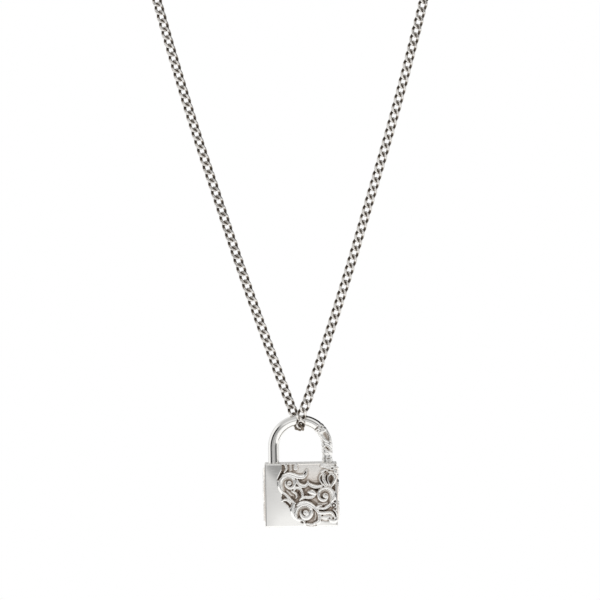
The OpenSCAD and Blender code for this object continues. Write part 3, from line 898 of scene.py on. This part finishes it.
bent = np.column_stack([
    -np.cos(angle) * from_middle,
    out_y,
    np.sin(angle) * from_middle - BOW_RADIUS + below,
])
move_vertices(bar, bent)
LEG_LOW_PATINA = 0.42
LEG_CLEARING = 3.5  # of that patina, with each millimetre over the carving's lowest places
LEG_LOWEST = -0.1
LEG_HOLLOW_PATINA_AND_SHADE = 0.5
leg_low = np.clip(LEG_LOW_PATINA - LEG_CLEARING * (leg_height - LEG_LOWEST), 0, 1)
# The carving's hollows get patina and painted shade
leg_dark = leg_low + LEG_HOLLOW_PATINA_AND_SHADE * sample(leg_cells, leg_hollows, around_bar, up_carving)
set_finish(bar, "patina_and_shade", np.where(carved, np.clip(leg_dark, 0, 1), 0))
set_finish(bar, "satin", carved)
bpy.ops.object.shade_smooth()
bar.data.transform(TO_METRES @ Matrix.Translation(CROWN + SLID_ASIDE))

polished_silver = silver(
    "polished_silver",
    bright=(0.95, 0.94, 0.92),
    dull=(0.87, 0.86, 0.83),
    smooth=0.06,
    rough=0.14,
    dent=0.08,
    cloud_scale=250,
    tarnish_and_shade=[
        (0, (0.85, 0.82, 0.78)),
        (0.3, (0.58, 0.52, 0.46)),
        (0.6, (0.28, 0.22, 0.17)),
        (0.85, (0.04, 0.03, 0.02)),
    ],
)
bar.data.materials.append(polished_silver)
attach(bar, "padlock")
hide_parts("shackle")

# Studio
# A white floor far below, and a white tent that the silver mirrors, of walls with a dark seam at
# each side, two roofs and a table. It is grey in front, at the camera, and behind the padlock.
FLOOR_DROP = 500
FLOOR_SIZE = 4  # in metres
bpy.ops.object.select_all(action="DESELECT")
floor_height = cad_box[0].z - FLOOR_DROP * MM
bpy.ops.mesh.primitive_plane_add(size=FLOOR_SIZE, location=(0, 0, floor_height))
floor = bpy.context.object
floor.name = "floor"
white = bpy.data.materials.new("white_floor")
white.use_nodes = True
glow = white.node_tree.nodes["Principled BSDF"]
glow.inputs["Base Color"].default_value = (0.9, 0.9, 0.9, 1)
glow.inputs["Roughness"].default_value = 0.8
glow.inputs["Emission Color"].default_value = (1, 1, 1, 1)
glow.inputs["Emission Strength"].default_value = 0.6
floor.data.materials.append(white)

tent = bpy.data.worlds.new("tent")
bpy.context.scene.world = tent
tent.use_nodes = True
tent_nodes, tent_links = tent.node_tree.nodes, tent.node_tree.links


def feed(socket, value):
    """Links another socket to a socket of the tent, or sets it to a number or colour."""
    if isinstance(value, bpy.types.NodeSocket):
        tent_links.new(value, socket)
    else:
        socket.default_value = value


def tent_math(operation, *values, clamp=False):
    """One sum in the tent's brightness, of sockets and numbers."""
    node = tent_nodes.new("ShaderNodeMath")
    node.operation = operation
    node.use_clamp = clamp
    for socket, value in zip(node.inputs, values):
        feed(socket, value)
    return node.outputs["Value"]


def tent_blend(share, first, second):
    """A mix of two brightnesses, the first where the share is 0 and the second where it is 1."""
    node = tent_nodes.new("ShaderNodeMix")
    node.data_type = "RGBA"
    for name, value in (("Factor", share), ("A", first), ("B", second)):
        feed(node.inputs[name], value)
    return node.outputs["Result"]


# A direction is told by its angle from the front, and by how far it leans east and up
HALF_TURN = 180
NOWHERE = 0.001  # least lean, so that nothing is divided by 0
axes = tent_nodes.new("ShaderNodeSeparateXYZ")
tent_links.new(tent_nodes.new("ShaderNodeTexCoord").outputs["Generated"], axes.inputs["Vector"])
east, up = axes.outputs["X"], axes.outputs["Z"]
front_share = tent_math("MULTIPLY", axes.outputs["Y"], -1)
from_front = tent_math("DEGREES", tent_math("ARCCOSINE", front_share))
round_tent = tent_math("DIVIDE", from_front, HALF_TURN)
east_squared, up_squared = tent_math("MULTIPLY", east, east), tent_math("MULTIPLY", up, up)
lean_squared = tent_math("ADD", east_squared, up_squared)
lean = tent_math("MAXIMUM", tent_math("SQRT", lean_squared), NOWHERE)
lift = tent_math("DIVIDE", up, lean)
rising = tent_math("MAXIMUM", lift, 0)
falling = tent_math("MAXIMUM", tent_math("MULTIPLY", lift, -1), 0)


def tent_ramp(stops):
    """Brightness round the tent, by stops of degrees from the front and brightness there."""
    node = tent_nodes.new("ShaderNodeValToRGB")
    ramp = node.color_ramp
    ramp.elements.remove(ramp.elements[1])
    for number, (angle, grey) in enumerate(stops):
        place = angle / HALF_TURN
        stop = ramp.elements.new(place) if number else ramp.elements[0]
        stop.position = place
        stop.color = (grey, grey, grey, 1)
    tent_links.new(round_tent, node.inputs["Fac"])
    return node.outputs["Color"]


side_wall = tent_ramp([
    (0, 0.4), (37, 0.42), (42, 0.03), (69, 0.03), (73, 1), (115, 1), (125, 0.85), (150, 0.8),
    (162, 0.5), (180, 0.42),
])
west_roof = tent_ramp([
    (0, 0.36), (4, 0.4), (9, 0.9), (30, 0.85), (45, 0.6), (100, 0.62), (130, 0.9), (150, 0.75),
    (180, 0.45),
])
east_roof = tent_ramp([
    (0, 0.36), (4, 0.4), (9, 0.9), (18, 0.9), (22, 0.35), (48, 0.35), (54, 0.9), (86, 0.9),
    (92, 0.03), (150, 0.03), (156, 0.8), (180, 0.45),
])
table = tent_ramp([
    (0, 0.3), (4.1, 0.34), (4.9, 0.78), (5.4, 0.86), (6.4, 0.68), (6.8, 0.72), (7.5, 0.95),
    (70, 0.95), (75, 0.6), (80, 1), (130, 1), (150, 0.75), (180, 0.45),
])
EAST_EDGE = 5  # how sharply the west roof passes into the east roof
ROOF_EDGE = 6  # how sharply a wall passes into the roof
ROOF_START = -3.6
EAST_ROOF_START = 2.5  # by which the roof starts lower in the east
TABLE_EDGE = 1.2  # how sharply a wall passes into the table
eastward = tent_math("DIVIDE", tent_math("MULTIPLY", east, EAST_EDGE), lean, clamp=True)
roof_start = tent_math("MULTIPLY_ADD", eastward, EAST_ROOF_START, ROOF_START)
on_roof = tent_math("MULTIPLY_ADD", rising, ROOF_EDGE, roof_start, clamp=True)
on_table = tent_math("MULTIPLY", falling, tent_math("MULTIPLY", falling, TABLE_EDGE), clamp=True)
roof = tent_blend(eastward, west_roof, east_roof)
walls_and_roof = tent_blend(on_roof, side_wall, roof)
shaded = tent_blend(on_table, walls_and_roof, table)
# Seen past the padlock the tent is plain white
seen = tent_nodes.new("ShaderNodeLightPath").outputs["Is Camera Ray"]
sky = tent_nodes["Background"]
tent_links.new(tent_blend(seen, shaded, (1, 1, 1, 1)), sky.inputs["Color"])
bpy.context.scene.view_settings.view_transform = "Standard"
